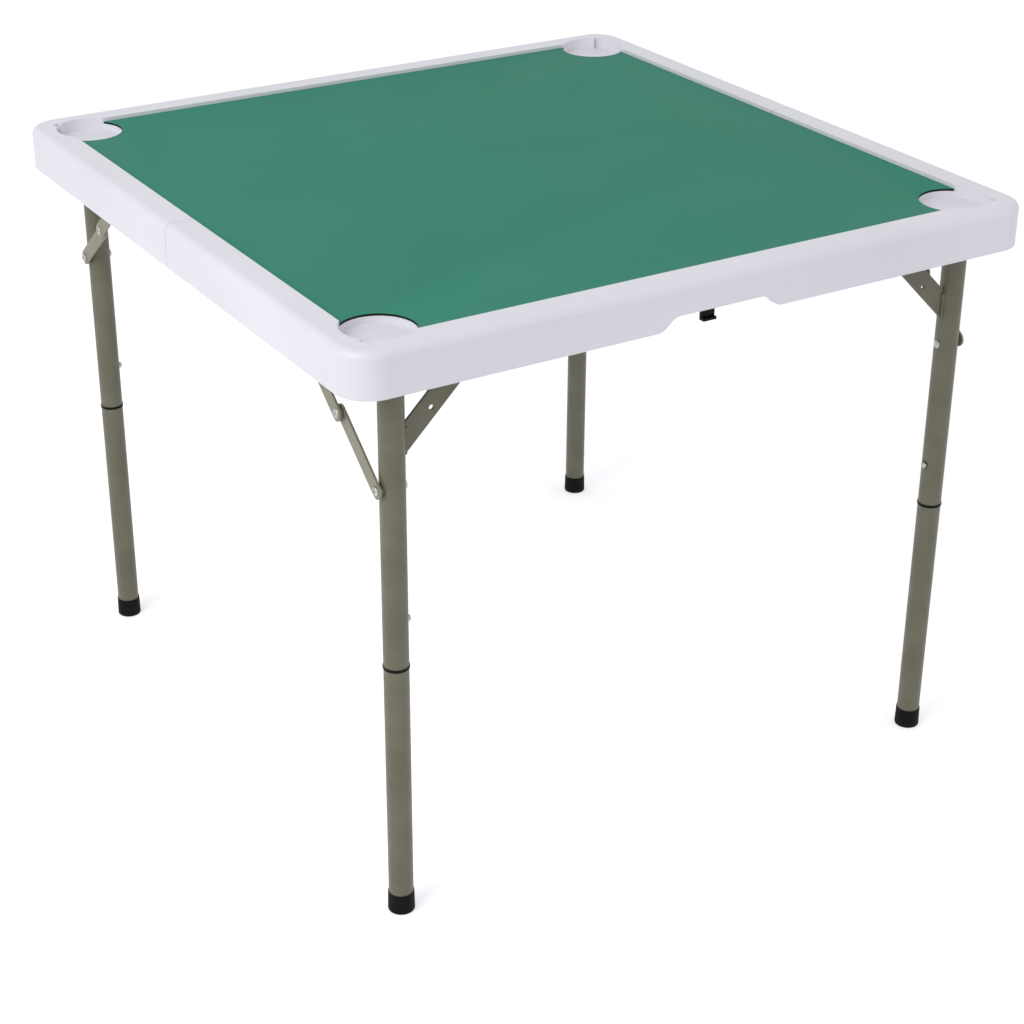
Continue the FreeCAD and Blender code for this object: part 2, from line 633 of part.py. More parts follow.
button_stem = rod("button_stem", "button_radius", "tube_wall - running_fit + button_out / 2",
                  ("bore_radius + running_fit - leg_x", "0 - leg_y", "button_height"), "x")
button_dome = doc.addObject("Part::Ellipsoid", "button_dome")
bind(button_dome, {"Radius1": "button_out / 2", "Radius2": "button_radius", "Radius3": "button_radius"})
place(button_dome, ("tube_radius + button_out / 2 - leg_x", "0 - leg_y", "button_height"), turns["x"])
button = fuse("button", [button_stem, button_dome])

for piece, source in (("lower_tube", lower_tube), ("sleeve", sleeve), ("foot", foot), ("button", button)):
    left = node("front_left_" + piece, source)
    right = node("front_right_" + piece, mirror("front_right_" + piece, left, xAxis))
    node("rear_left_" + piece, mirror("rear_left_" + piece, left, yAxis))
    node("rear_right_" + piece, mirror("rear_right_" + piece, right, yAxis))

# Carry handle, stowed inward behind the crossbar
arms = [block("handle_arm_" + side, (low, "handle_y", "skirt_bottom - handle_arm_thickness / 2"),
              (high, "handle_y + handle_reach", "skirt_bottom + handle_arm_thickness / 2"))
        for side, low, high in (("left", "0 - handle_half_width", "handle_arm_width - handle_half_width"),
                                ("right", "handle_half_width - handle_arm_width", "handle_half_width"))]
grip = rod("handle_grip", "grip_radius", "2 * handle_half_width",
           ("0 - handle_half_width", "handle_y + handle_reach", "skirt_bottom"), "x")
grip = fillet("handle_grip_round", grip, "grip_round", lambda b: near(b.XMin, b.XMax))
axle = [rod("handle_axle_" + side, "handle_arm_thickness / 2",
            "handle_arm_width + lug_gap + trunnion_length", (start, "handle_y", "skirt_bottom"), "x")
        for side, start in (("left", "0 - handle_half_width - lug_gap - trunnion_length"),
                            ("right", "handle_half_width - handle_arm_width"))]
node("carry_handle", fuse("handle", arms + [grip] + axle))

lug_low = "handle_half_width + lug_gap"
lug_post = block("lug_post",
                 ("0 - lug_thickness - (" + lug_low + ")", "handle_y - lug_depth / 2", "skirt_bottom"),
                 ("0 - (" + lug_low + ")", "handle_y + lug_depth / 2", "deck_under"))
lug_eye = rod("lug_eye", "lug_depth / 2", "lug_thickness",
              ("0 - lug_thickness - (" + lug_low + ")", "handle_y", "skirt_bottom"), "x")
lug_foot = block("lug_foot",
                 ("0 - lug_thickness - screw_head_radius - (" + lug_low + ")",
                  "handle_y - lug_depth / 2", "deck_under - lug_plate"),
                 ("screw_head_radius - (" + lug_low + ")",
                  "handle_y + lug_depth / 2 + lug_base", "deck_under"))
lug_bore = rod("lug_bore", "handle_arm_thickness / 2 + running_fit", "lug_thickness + cut_margin",
               ("0 - lug_thickness - cut_margin / 2 - (" + lug_low + ")", "handle_y", "skirt_bottom"), "x")
lug_screw_hole = rod("lug_screw_hole", "screw_radius + seat_fit", "lug_plate + cut_margin",
                     ("0 - (" + lug_x + ")", lug_screw_y, "deck_under - lug_plate - cut_margin / 2"))
lug = cut("lug_left", fuse("lug_solid", [lug_post, lug_eye, lug_foot]), [lug_bore, lug_screw_hole])
node("handle_brackets", pair("handle_brackets", lug))

# Latch hook on the front half and its keeper on the rear half
hook_plate = block("hook_plate",
                   ("0 - latch_half_width", "latch_y - latch_thickness / 2", "latch_z - latch_drop"),
                   ("latch_half_width", "latch_y + latch_thickness / 2", "latch_z"))
hook_barrel = rod("hook_barrel", "latch_barrel_radius", "2 * latch_half_width",
                  ("0 - latch_half_width", "latch_y", "latch_z"), "x")
hook_lip = block("hook_lip",
                 ("0 - latch_half_width", "latch_y - latch_thickness / 2 - latch_lip",
                  "latch_z - latch_drop"),
                 ("latch_half_width", "latch_y", "latch_z - latch_drop + latch_lip_height"))
hook_bore = rod("hook_bore", "latch_pin_radius + running_fit", "2 * latch_half_width + cut_margin",
                ("0 - latch_half_width - cut_margin / 2", "latch_y", "latch_z"), "x")
node("latch_hook", cut("hook", fuse("hook_solid", [hook_plate, hook_barrel, hook_lip]), [hook_bore]))
ears = [block("latch_ear_" + side, (low, "latch_y - latch_barrel_radius", "latch_z - latch_barrel_radius"),
              (high, "latch_y + latch_barrel_radius", "deck_under"))
        for side, low, high in (("left", "0 - latch_ear_out", "latch_ear - latch_ear_out"),
                                ("right", "latch_ear_out - latch_ear", "latch_ear_out"))]
latch_base = block("latch_base",
                   ("0 - latch_ear_out", "latch_y - latch_base_depth / 2", "deck_under - latch_plate"),
                   ("latch_ear_out", "latch_y + latch_base_depth / 2", "deck_under"))
latch_pin = rod("latch_pin", "latch_pin_radius", "2 * latch_ear_out",
                ("0 - latch_ear_out", "latch_y", "latch_z"), "x")
node("latch_bracket", fuse("latch_bracket_solid", ears + [latch_base, latch_pin]))
keeper_plate = block("keeper_plate",
                     ("0 - keeper_half_width", "keeper_y - latch_thickness", "skirt_bottom + keeper_lift"),
                     ("keeper_half_width", "keeper_y", "deck_under"))
keeper_foot = block("keeper_foot_plate", ("0 - keeper_half_width", "keeper_y", "deck_under - latch_plate"),
                    ("keeper_half_width", "keeper_y + keeper_foot", "deck_under"))
keeper_window = block("keeper_window_cut",
                      ("0 - keeper_window_half", "keeper_y - latch_thickness - cut_margin",
                       "skirt_bottom + keeper_lift + keeper_bar"),
                      ("keeper_window_half", "keeper_y + cut_margin",
                       "skirt_bottom + keeper_lift + keeper_bar + keeper_window"))
keeper = cut("keeper", fuse("keeper_solid", [keeper_plate, keeper_foot]), [keeper_window])
node("latch_keeper", mirror("latch_keeper", keeper, yAxis))

# Play mat laid in the recess, with a round corner cut at each cup holder
mat_sheet = block("mat_sheet", ("0 - mat_half", "0 - mat_half", "mat_floor"),
                  ("mat_half", "mat_half", "mat_top"))
mat_cuts = [rod("mat_cut_%d" % n, "mat_notch_radius", "mat_thickness + cut_margin",
                (x, y, "mat_floor - cut_margin / 2"))
            for n, (x, y) in enumerate((("0 - cup_place", "0 - cup_place"), ("cup_place", "0 - cup_place"),
                                        ("0 - cup_place", "cup_place"), ("cup_place", "cup_place")))]
node("play_mat", cut("mat", mat_sheet, mat_cuts))

doc.recompute()
for obj in doc.Objects:
    if "Invalid" in obj.State or "Error" in obj.State:
        raise RuntimeError("object in error: " + obj.Name)
for name, obj in nodes.items():
    if obj.Shape.isNull() or not obj.Shape.isValid() or not obj.Shape.Solids:
        raise RuntimeError("bad shape: " + name)
os.makedirs("parts", exist_ok=True)
for name, obj in nodes.items():
    obj.Shape.exportStep("parts/%s.step" % name)
    print(name, len(obj.Shape.Solids), round(obj.Shape.Volume))
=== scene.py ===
import json
import math

import bmesh
import bpy
from mathutils import Matrix, Vector


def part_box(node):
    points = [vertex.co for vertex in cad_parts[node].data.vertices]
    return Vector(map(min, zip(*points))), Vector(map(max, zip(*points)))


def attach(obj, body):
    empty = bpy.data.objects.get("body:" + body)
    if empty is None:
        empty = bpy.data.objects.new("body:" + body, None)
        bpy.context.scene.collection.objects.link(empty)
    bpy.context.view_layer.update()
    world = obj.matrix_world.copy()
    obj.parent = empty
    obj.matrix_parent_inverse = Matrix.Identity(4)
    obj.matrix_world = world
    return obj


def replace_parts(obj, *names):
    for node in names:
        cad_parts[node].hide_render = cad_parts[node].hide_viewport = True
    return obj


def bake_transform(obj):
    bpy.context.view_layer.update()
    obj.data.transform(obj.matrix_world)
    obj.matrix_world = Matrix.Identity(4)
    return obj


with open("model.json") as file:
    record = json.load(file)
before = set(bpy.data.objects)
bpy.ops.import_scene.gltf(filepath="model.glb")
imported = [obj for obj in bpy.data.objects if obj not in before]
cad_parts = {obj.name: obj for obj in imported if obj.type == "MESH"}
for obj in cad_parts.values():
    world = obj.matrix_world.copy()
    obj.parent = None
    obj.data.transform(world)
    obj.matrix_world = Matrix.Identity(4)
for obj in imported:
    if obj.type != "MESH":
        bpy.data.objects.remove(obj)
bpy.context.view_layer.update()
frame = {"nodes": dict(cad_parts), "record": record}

scene = bpy.context.scene
scene.view_settings.view_transform = "Standard"
mm = 0.001
nodes = frame["nodes"]
ends = (("front", -1), ("rear", 1))  # name and side of the fold
hands = (-1, 1)  # left and right
tiny = 1e-6  # metres, for telling heights apart
print("frame loaded:", len(nodes), "nodes")


# shared helpers

def linear(hexCode):
    # sRGB hex to the linear colour that shaders take
    parts = [int(hexCode[i:i + 2], 16) / 255 for i in (1, 3, 5)]
    return [c / 12.92 if c <= 0.04045 else ((c + 0.055) / 1.055) ** 2.4 for c in parts] + [1.0]


def addNode(tree, kind, settings=None, links=None):
    # settings go to properties or input sockets, links are (input, other node, its output)
    made = tree.nodes.new(kind)
    for key, value in (settings or {}).items():
        if key in made.inputs:
            made.inputs[key].default_value = value
        else:
            setattr(made, key, value)
    for socket, other, output in links or []:
        tree.links.new(other.outputs[output], made.inputs[socket])
    return made


def newMaterial(name, settings):
    # a Principled material, its steady values straight on the sockets
    made = bpy.data.materials.new(name)
    made.use_nodes = True
    tree = made.node_tree
    tree.nodes.clear()
    shader = addNode(tree, "ShaderNodeBsdfPrincipled", settings)
    addNode(tree, "ShaderNodeOutputMaterial", links=[("Surface", shader, "BSDF")])
    place = addNode(tree, "ShaderNodeTexCoord")
    return made, tree, shader, place


def perMetre(sizeMm):
    # texture scale for a pattern whose repeat is sizeMm on the real thing
    return 1000 / sizeMm


def twoTones(tree, shader, pattern, output, tones, span):
    # pattern values across the span become a colour between two hex tones
    ramp = addNode(tree, "ShaderNodeValToRGB", links=[("Fac", pattern, output)])
    for stop, position, tone in zip(ramp.color_ramp.elements, span, (tones["dark"], tones["light"])):
        stop.position = position
        stop.color = linear(tone)
    tree.links.new(ramp.outputs["Color"], shader.inputs["Base Color"])


def raised(tree, shader, pattern, output, relief):
    # relief from a pattern value: its height in mm and how strongly it shows
    heightMm, strength = relief
    bump = addNode(tree, "ShaderNodeBump", {"Strength": strength, "Distance": heightMm * mm},
                   [("Height", pattern, output)])
    tree.links.new(bump.outputs["Normal"], shader.inputs["Normal"])


# materials

hdpe = {"dark": "#e3e2e8", "light": "#e8e7ed", "span": (0.3, 0.7), "roughness": 0.42, "cloudMm": 160,
        "grainMm": 1.6, "relief": (0.05, 0.2)}


def blowMouldedHdpe():
    # blow-moulded HDPE: a satin white with a fine sandblasted grain from the mould
    made, tree, shader, place = newMaterial("blow-moulded HDPE, white", {
        "Roughness": hdpe["roughness"], "IOR": 1.54})
    cloud = addNode(tree, "ShaderNodeTexNoise", {"Scale": perMetre(hdpe["cloudMm"]), "Detail": 2.0},
                    [("Vector", place, "Object")])
    twoTones(tree, shader, cloud, "Fac", hdpe, hdpe["span"])
    # the real grain is about 0.3 mm, drawn five times coarser so that it shows
    grain = addNode(tree, "ShaderNodeTexNoise", {"Scale": perMetre(hdpe["grainMm"]), "Detail": 2.0},
                    [("Vector", place, "Object")])
    raised(tree, shader, grain, "Fac", hdpe["relief"])
    return made


cloth = {"dark": "#3b8872", "light": "#3e8b74", "span": (0.3, 0.7), "roughness": 0.9, "loopMm": 2.4,
         "mottleMm": 140, "relief": (0.25, 0.25)}


def knitCloth():
    # knit cloth: matt green, evenly dyed, rows of tiny loops that hide most of the surface shine
    made, tree, shader, place = newMaterial("knit cloth, green", {
        "Roughness": cloth["roughness"], "IOR": 1.5, "Specular IOR Level": 0.12, "Sheen Weight": 0.03,
        "Sheen Roughness": 0.5})
    mottle = addNode(tree, "ShaderNodeTexNoise", {"Scale": perMetre(cloth["mottleMm"]), "Detail": 4.0},
                     [("Vector", place, "Object")])
    twoTones(tree, shader, mottle, "Fac", cloth, cloth["span"])
    # loops are about 0.6 mm apart, drawn four times coarser so that they show
    loops = addNode(tree, "ShaderNodeTexVoronoi", {"Scale": perMetre(cloth["loopMm"]), "Randomness": 0.35},
                    [("Vector", place, "Object")])
    raised(tree, shader, loops, "Distance", cloth["relief"])
    return made


foam = {"dark": "#0a0a0b", "light": "#141415", "span": (0.1, 0.6), "roughness": 0.85, "poreMm": 2.0,
        "relief": (0.3, 0.5)}


def foamedRubber():
    # foamed rubber: dull black with open pores that swallow the shine
    made, tree, shader, place = newMaterial("foamed rubber, black", {
        "Roughness": foam["roughness"], "IOR": 1.5, "Specular IOR Level": 0.2})
    pores = addNode(tree, "ShaderNodeTexVoronoi", {"Scale": perMetre(foam["poreMm"])},
                    [("Vector", place, "Object")])
    twoTones(tree, shader, pores, "Distance", foam, foam["span"])
    raised(tree, shader, pores, "Distance", foam["relief"])
    return made


paint = {
    "tube": {"dark": "#615e4a", "light": "#6a6754"},
    "link": {"dark": "#807d68", "light": "#878470"},
    "span": (0.35, 0.65), "roughness": 0.44, "peelMm": 3.0, "cloudMm": 40, "relief": (0.06, 0.3),
}


def powderCoatedSteel(name, tones):
    # powder-coated steel: grey-taupe paint with a low sheen and a slight orange peel
    made, tree, shader, place = newMaterial("powder-coated steel, " + name, {
        "Roughness": paint["roughness"], "IOR": 1.52})
    cloud = addNode(tree, "ShaderNodeTexNoise", {"Scale": perMetre(paint["cloudMm"]), "Detail": 3.0},
                    [("Vector", place, "Object")])
    twoTones(tree, shader, cloud, "Fac", tones, paint["span"])
    peel = addNode(tree, "ShaderNodeTexNoise", {"Scale": perMetre(paint["peelMm"]), "Detail": 1.0},
                   [("Vector", place, "Object")])
    raised(tree, shader, peel, "Fac", paint["relief"])
    return made


zinc = {"dark": "#9f9f9b", "light": "#c0c0bc", "span": (0.3, 0.7), "roughness": 0.3, "spangleMm": 4.0,
        "relief": (0.04, 0.2)}


def zincPlatedSteel():
    # zinc-plated steel: bright silver, a little uneven from tumbling in the plating drum
    made, tree, shader, place = newMaterial("zinc-plated steel, bright", {
        "Metallic": 1.0, "Roughness": zinc["roughness"]})
    spangle = addNode(tree, "ShaderNodeTexNoise", {"Scale": perMetre(zinc["spangleMm"]), "Detail": 3.0},
                      [("Vector", place, "Object")])
    twoTones(tree, shader, spangle, "Fac", zinc, zinc["span"])
    raised(tree, shader, spangle, "Fac", zinc["relief"])
    return made


rubber = {"dark": "#070708", "light": "#0f0f10", "span": (0.35, 0.7), "roughness": 0.68, "bloomMm": 9.0,
          "relief": (0.05, 0.2)}


def mouldedRubber():
    # moulded rubber: near black, a weak soft sheen under a dusty bloom
    made, tree, shader, place = newMaterial("moulded rubber, black", {
        "Roughness": rubber["roughness"], "IOR": 1.52, "Specular IOR Level": 0.12})
    bloom = addNode(tree, "ShaderNodeTexNoise", {"Scale": perMetre(rubber["bloomMm"]), "Detail": 4.0},
                    [("Vector", place, "Object")])
    twoTones(tree, shader, bloom, "Fac", rubber, rubber["span"])
    raised(tree, shader, bloom, "Fac", rubber["relief"])
    return made


nylon = {"dark": "#050506", "light": "#0a0a0b", "span": (0.3, 0.7), "roughness": 0.42, "sparkMm": 1.4,
         "relief": (0.05, 0.25)}


def mouldedNylon():
    # moulded nylon: black, semi-gloss, spark-eroded texture
    made, tree, shader, place = newMaterial("moulded nylon, black", {
        "Roughness": nylon["roughness"], "IOR": 1.53, "Specular IOR Level": 0.1})
    spark = addNode(tree, "ShaderNodeTexNoise", {"Scale": perMetre(nylon["sparkMm"]), "Detail": 2.0},
                    [("Vector", place, "Object")])
    twoTones(tree, shader, spark, "Fac", nylon, nylon["span"])
    raised(tree, shader, spark, "Fac", nylon["relief"])
    return made


finishes = {
    "moulded_white": blowMouldedHdpe(),
    "green_mat": knitCloth(),
    "mat_back": foamedRubber(),
    "painted_steel": powderCoatedSteel("grey-taupe", paint["tube"]),
    "painted_link": powderCoatedSteel("light taupe", paint["link"]),
    "zinc_steel": zincPlatedSteel(),
    "black_rubber": mouldedRubber(),
    "black_plastic": mouldedNylon(),
}
print("materials:", len(finishes))


# CAD nodes take their finish from the record's slots, with softened edges

edgeBreak = {"moulded_white": 1.2, "painted_steel": 0.5, "painted_link": 0.4, "zinc_steel": 0.35,
             "black_plastic": 0.5, "black_rubber": 0.6, "angle": 40, "segments": 2}  # widths in mm
poleWeld = 0.0005  # mm, joins the points that the tessellation repeats at a button's pole

for subpart in frame["record"]["subparts"]:
    piece = nodes[subpart["node"]]
    slotName = subpart["material_slot"]
    piece.data.materials.clear()
    piece.data.materials.append(finishes[slotName])
    if subpart["node"].endswith("_button"):  # a dome already, so only its pole is closed
        weld = piece.modifiers.new("closed pole", "WELD")
        weld.merge_threshold = poleWeld * mm
    elif slotName in edgeBreak:
        bevel = piece.modifiers.new("broken edges", "BEVEL")
        bevel.width = edgeBreak[slotName] * mm
        bevel.segments = edgeBreak["segments"]
        bevel.limit_method = "ANGLE"
        bevel.angle_limit = math.radians(edgeBreak["angle"])
        bevel.harden_normals = True
print("CAD nodes dressed")


# mesh pieces

def finishPiece(name, bm, slotName, body=None, sharpDegrees=35):
    mesh = bpy.data.meshes.new(name)
    bmesh.ops.recalc_face_normals(bm, faces=bm.faces)
    bm.to_mesh(mesh)
    bm.free()
    for face in mesh.polygons:
        face.use_smooth = True
    mesh.set_sharp_from_angle(angle=math.radians(sharpDegrees))
    made = bpy.data.objects.new(name, mesh)
    scene.collection.objects.link(made)
    mesh.materials.append(finishes[slotName])
    if body:
        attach(made, body)
    return made


def joinRings(bm, rings, closed=False):
    # skin between rings of equal length, or a fan where a ring is a single point
    pairs = list(zip(rings, rings[1:] + rings[:1])) if closed else list(zip(rings, rings[1:]))
    for one, two in pairs:
        count = max(len(one), len(two))
        for i in range(count):
            j = (i + 1) % count
            loop = [one[i % len(one)], one[j % len(one)], two[j % len(two)], two[i % len(two)]]
            bm.faces.new(list(dict.fromkeys(loop)))


def turned(bm, profile, frameMatrix, steps=28):
    # turned profile of (radius, height, lobes) in mm; lobes gives a cross-shaped recess
    rings = []
    for radius, height, lobes in profile:
        angles = [2 * math.pi * i / steps for i in range(steps)] if radius else [0.0]
        rings.append([bm.verts.new(frameMatrix @ Vector((
            radius * (1 + lobes * math.cos(4 * a)) * mm * math.cos(a),
            radius * (1 + lobes * math.cos(4 * a)) * mm * math.sin(a), height * mm))) for a in angles])
    joinRings(bm, rings)


def swept(bm, path, halves, steps, closed=False, flat=Vector((0, 0, 1))):
    # oval section (half width across, half height along flat) carried along a path in metres
    rings = []
    count = len(path)
    for i, point in enumerate(path):
        before = path[i - 1] if closed or i else path[0]
        after = path[(i + 1) % count] if closed or i + 1 < count else path[-1]
        forward = (after - before).normalized()
        across = forward.cross(flat).normalized()
        up = across.cross(forward)
        wide, high = halves[i]
        rings.append([bm.verts.new(point + across * wide * math.cos(2 * math.pi * k / steps)
                                   + up * high * math.sin(2 * math.pi * k / steps)) for k in range(steps)])
    joinRings(bm, rings, closed)
    if not closed:
        bm.faces.new(rings[0])
        bm.faces.new(rings[-1][::-1])


def outward(side, y, z):
    # turning axis that points out of the left or right side of the table
    return Matrix.Translation((0, y, z)) @ Matrix.Rotation(side * math.pi / 2, 4, "Y")


# play mat: one sheet over both halves, a round bite at each corner for the cup recess

mat = {"bite": 41.0, "cupAt": 377.0, "edge": 0.7, "edgeSegments": 2, "arcSteps": 20, "foldZone": 90.0,
       "foldStrips": 24, "faceUp": 0.3}


def playMat():
    low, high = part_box("play_mat")
    cup, bite = mat["cupAt"] * mm, mat["bite"] * mm
    horn = math.asin((high.x - cup) / bite)  # where the bite meets the straight edges
    sweep = math.pi / 2 + 2 * horn
    outline = []
    for turn in range(4):
        spin = Matrix.Rotation(turn * math.pi / 2, 2)
        for step in range(mat["arcSteps"] + 1):
            angle = 1.5 * math.pi + horn - sweep * step / mat["arcSteps"]
            outline.append(spin @ Vector((cup + bite * math.cos(angle), cup + bite * math.sin(angle))))
    bm = bmesh.new()
    top = bm.faces.new([bm.verts.new((p.x, p.y, high.z)) for p in outline])
    grown = bmesh.ops.extrude_face_region(bm, geom=[top])
    for v in grown["geom"]:
        if isinstance(v, bmesh.types.BMVert):
            v.co.z = low.z
    rimEdges = [e for e in bm.edges if all(abs(v.co.z - high.z) < tiny for v in e.verts)]
    bmesh.ops.bevel(bm, geom=rimEdges, offset=mat["edge"] * mm, segments=mat["edgeSegments"], affect="EDGES",
                    profile=0.5)
    zone = mat["foldZone"] * mm
    for strip in range(mat["foldStrips"] + 1):
        at = zone * (strip / mat["foldStrips"] - 0.5)
        bmesh.ops.bisect_plane(bm, geom=bm.verts[:] + bm.edges[:] + bm.faces[:],
                               plane_co=(0, at, 0), plane_no=(0, 1, 0))
    made = finishPiece("playMat", bm, "green_mat")
    made.data.materials.append(finishes["mat_back"])
    for face in made.data.polygons:
        face.material_index = 0 if face.normal.z > mat["faceUp"] else 1  # cloth above, foam below
    return made


sheetPiece = playMat()
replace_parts(sheetPiece, "play_mat")
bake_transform(sheetPiece)
print("play mat laid")


# lower wall of the deck: rows of bowls where the two walls of the moulding are pinched together

pinch = {"cell": 44.0, "columns": 8, "rows": 9, "fromFold": 4.0, "deckUnder": 687.0, "wall": 4.0, "sunk": 0.1,
         "depth": 3.6, "perSide": 6, "edge": 1.0, "edgeSegments": 2, "merge": 0.01,
         "bowl": [(0.0, 1.0), (4.0, 0.98), (6.5, 0.86), (8.5, 0.6), (10.5, 0.28), (12.5, 0.07), (14.0, 0.0)],
         "saddleClear": (213.0, 237.0, 360.0, 424.0), "handleClear": (60.5, 75.5, 340.2, 369.8)}


def pinchedWall(end, way):
    p = pinch
    half = p["cell"] / 2
    # points round a cell, in step with those of its neighbours
    run = [Vector((half, p["cell"] * k / p["perSide"] - half, 0)) for k in range(p["perSide"])]
    around = [Matrix.Rotation(quarter * math.pi / 2, 3, "Z") @ point for quarter in range(4) for point in run]
    clear = [p["saddleClear"]] + ([p["handleClear"]] if end == "front" else [])
    bm = bmesh.new()
    for column in range(p["columns"]):
        for row in range(p["rows"]):
            x, y = half + column * p["cell"], half + row * p["cell"] + p["fromFold"]
            if any(x0 - half < x < x1 + half and y0 - half < y < y1 + half for x0, x1, y0, y1 in clear):
                continue  # a bracket is screwed on here
            for side in hands:
                centre = Vector((side * x, way * y, p["deckUnder"] - p["wall"]))
                rings = []
                for radius, share in p["bowl"]:  # radius in mm, share of the depth
                    middle = centre + Vector((0, 0, share * p["depth"]))
                    rings.append([bm.verts.new((middle + point.normalized() * radius) * mm)
                                  for point in (around if radius else around[:1])])
                rings.append([bm.verts.new((centre + point) * mm) for point in around])
                joinRings(bm, rings)
    bmesh.ops.remove_doubles(bm, verts=bm.verts, dist=p["merge"] * mm)
    border = [e for e in bm.edges if e.is_boundary]
    for v in bmesh.ops.extrude_edge_only(bm, edges=border)["geom"]:
        if isinstance(v, bmesh.types.BMVert):
            v.co.z = (p["deckUnder"] + p["sunk"]) * mm
    bmesh.ops.edgeloop_fill(bm, edges=[e for e in bm.edges if e.is_boundary])
    bmesh.ops.bevel(bm, geom=border, offset=p["edge"] * mm, segments=p["edgeSegments"], affect="EDGES",
                    profile=0.5)
    finishPiece(end + "PinchedWall", bm, "moulded_white", end + "_half")


for end, way in ends:
    pinchedWall(end, way)
print("deck undersides pinched")


# carry handle: one smooth D, flat at the pivots and round in the grip

handle = {"pivotY": -366.0, "gripY": -254.0, "level": 654.0, "armX": 58.0, "bend": 24.0, "armWide": 6.0,
          "armThick": 3.0, "armEnd": [(0.9, 0.35), (0.5, 0.8)], "grip": 8.0, "axle": 3.0, "axleIn": 52.0,
          "axleOut": 73.0, "axleChamfer": 0.5, "bendSteps": 10, "sectionSteps": 24}


def carryHandle():
    h = handle
    centre = Vector((h["armX"] - h["bend"], h["gripY"] - h["bend"]))
    turns = [math.pi / 2 * i / h["bendSteps"] for i in range(h["bendSteps"] + 1)]
    # the arm's end is rounded over: how far past the pivot in thicknesses, and the share of the section
    rightHalf = [(h["armX"], h["pivotY"] - h["armThick"] * past, share) for past, share in h["armEnd"]]
    rightHalf += [(h["armX"], h["pivotY"] + h["armThick"], 1.0), (h["armX"], centre.y - h["bend"], 1.0)]
    rightHalf += [(centre.x + h["bend"] * math.cos(a), centre.y + h["bend"] * math.sin(a), 1.0)
                  for a in turns]
    rightHalf.append((h["grip"], h["gripY"], 1.0))
    ribbon = rightHalf + [(-x, y, s) for x, y, s in reversed(rightHalf)]
    path, halves = [], []
    for x, y, scale in ribbon:
        share = min(max((y - centre.y) / h["bend"], 0), 1)  # 0 along the arm, 1 in the grip
        soft = share * share * (3 - 2 * share)
        path.append(Vector((x, y, h["level"])) * mm)
        halves.append(((h["armWide"] + (h["grip"] - h["armWide"]) * soft) * scale * mm,
                       (h["armThick"] + (h["grip"] - h["armThick"]) * soft) * scale * mm))
    bm = bmesh.new()
    swept(bm, path, halves, h["sectionSteps"])
    for side in hands:
        turned(bm, [(0, h["axleIn"], 0), (h["axle"], h["axleIn"], 0),
                    (h["axle"], h["axleOut"] - h["axleChamfer"], 0),
                    (h["axle"] - h["axleChamfer"], h["axleOut"], 0), (0, h["axleOut"], 0)],
               outward(side, h["pivotY"] * mm, h["level"] * mm))
    return finishPiece("carryHandle", bm, "black_plastic", "handle")


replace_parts(carryHandle(), "carry_handle")
print("carry handle bent")


# rivets and bolts: turned heads with a rounded crown and a cross-shaped recess

fixing = {"shank": 3.0, "head": 5.5, "recess": 1.7, "lobes": 0.3, "recessDepth": 0.9, "recessLip": 1.4,
          "recessDrop": 0.1, "recessTaper": 0.85, "tailChamfer": 0.4,
          "dome": [(0.0, 0.0), (0.0, 0.3), (0.5, 0.65), (1.4, 0.92)],  # mm in from the side, share of rise
          "boltTail": 356.5, "boltShoulder": 385.3, "boltShoulderEnd": 389.0, "boltHead": 392.1,
          "boltTop": 394.3, "boltY": 392.0, "boltZ": 531.0,
          "kneeFoot": 393.35, "kneeFlange": 394.6, "kneeHead": 397.1, "kneeTop": 398.7}


def crown(base, top, head):
    # domed head from its underside out to the recess in the middle
    f = fixing
    dome = [(head - inset, base + share * (top - base), 0) for inset, share in f["dome"]]
    recess = [(f["recess"] * f["recessLip"], top, 0), (f["recess"], top - f["recessDrop"], f["lobes"]),
              (f["recess"] * f["recessTaper"], top - f["recessDepth"], f["lobes"]),
              (0, top - f["recessDepth"], 0)]
    return dome + recess


def braceBolts(end, way):
    f = fixing
    bm = bmesh.new()
    body = [(0, f["boltTail"], 0), (f["shank"] - f["tailChamfer"], f["boltTail"], 0),
            (f["shank"], f["boltTail"] + f["tailChamfer"], 0),
            (f["shank"], f["boltShoulder"], 0), (f["head"], f["boltShoulder"], 0),
            (f["head"], f["boltShoulderEnd"], 0), (f["shank"], f["boltShoulderEnd"], 0),
            (f["shank"], f["boltHead"], 0)]
    for side in hands:
        turned(bm, body + crown(f["boltHead"], f["boltTop"], f["head"]),
               outward(side, way * f["boltY"] * mm, f["boltZ"] * mm))
    made = finishPiece(end + "BraceBolts", bm, "zinc_steel", end + "_leg_frame")
    made.data.materials.append(finishes["painted_steel"])
    for face in made.data.polygons:  # the shoulder is painted with the leg, a darker finish that also stands in as painted shade under the link's round end
        face.material_index = 1 if f["boltShoulder"] <= abs(face.center.x) / mm < f["boltHead"] else 0
    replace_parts(made, end + "_brace_bolts")


def kneeRivets(end):
    f = fixing
    low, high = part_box(end + "_knee_rivets_outer")
    bm = bmesh.new()
    body = [(0, f["kneeFoot"], 0), (f["head"], f["kneeFoot"], 0), (f["head"], f["kneeFlange"], 0),
            (f["shank"], f["kneeFlange"], 0), (f["shank"], f["kneeHead"], 0)]
    for side in hands:
        turned(bm, body + crown(f["kneeHead"], f["kneeTop"], f["head"]),
               outward(side, (low.y + high.y) / 2, (low.z + high.z) / 2))
    made = finishPiece(end + "KneeRivets", bm, "zinc_steel", end + "_upper_braces")
    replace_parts(made, end + "_knee_rivets_outer")


screw = {"head": 4.5, "rise": 2.4, "shank": 2.1, "depth": 8.0, "deckUnder": 687.0,
         "places": [(416.1, 314.08, 3.0), (416.1, 191.68, 3.0), (416.1, 69.28, 3.0),
                    (225.0, 415.45, 2.5), (225.0, 368.55, 2.5)],  # x, y and the plate under the head
         "handlePlace": (68.0, 351.2, 3.0)}


